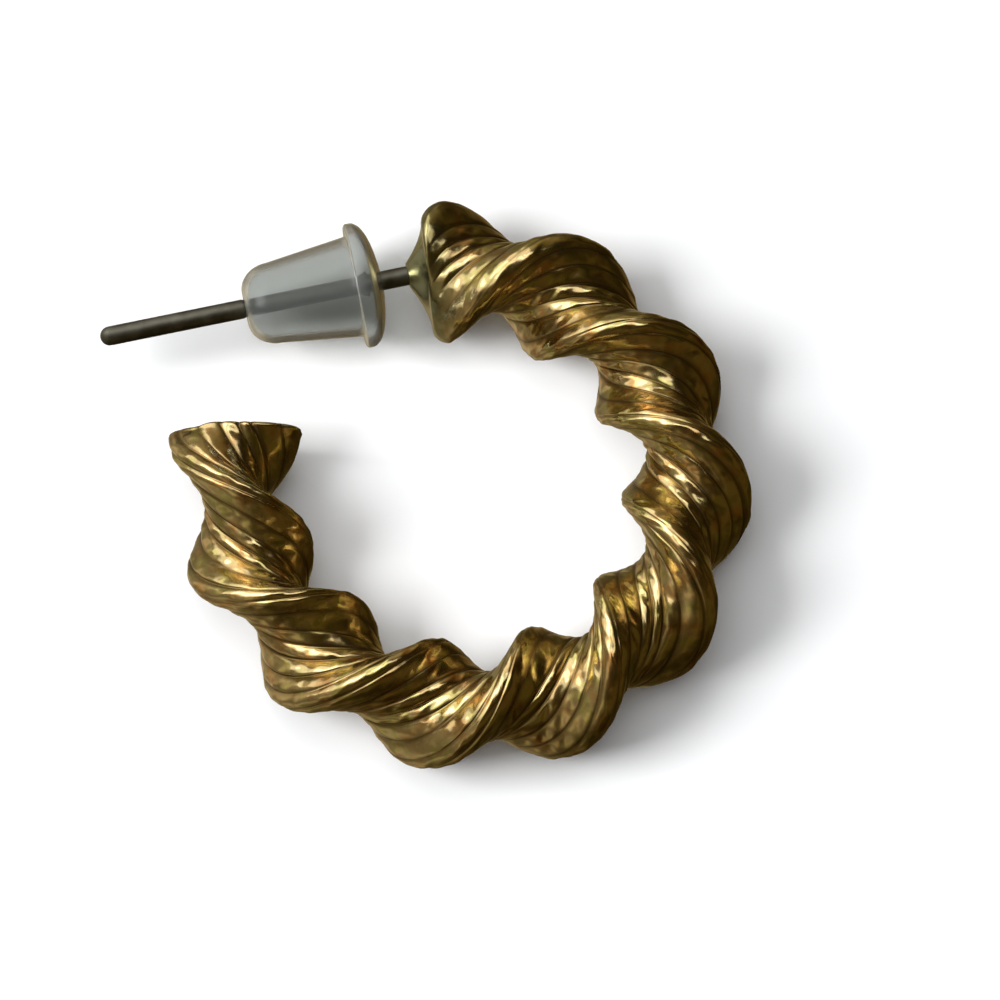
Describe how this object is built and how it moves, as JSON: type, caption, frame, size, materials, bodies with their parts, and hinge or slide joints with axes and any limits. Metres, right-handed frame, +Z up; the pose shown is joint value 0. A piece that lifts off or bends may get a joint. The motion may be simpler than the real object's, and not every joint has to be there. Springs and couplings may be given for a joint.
{
  "type": "twisted hoop earring",
  "caption": "Open hoop earring of thick twisted and fluted gold-tone bar, lying on its side, with a straight ear post and a soft push-on ear nut.",
  "frame": {"origin": "centre of the part's box on the surface it lies on", "axes": "+Z up along the hoop's own axis, +X away from the post's tip, +Y from the hoop's middle towards its soldered end"},
  "size_m": [0.0242, 0.0218, 0.0048],
  "materials": {
    "gold_metal": "polished gold plate",
    "clear_silicone": "soft, translucent, satin",
    "post_steel": "polished steel wire"
  },
  "bodies": {
    "earring": {"hoop_and_post": "gold_metal"},
    "nut": {"ear_nut": "clear_silicone"}
  },
  "joints": [
    {"name": "nut_slide", "type": "slide", "parent": "earring", "child": "nut", "axis": [-0.9781, -0.2079, 0], "range_m": [-0.0009, 0.0115]}
  ]
}
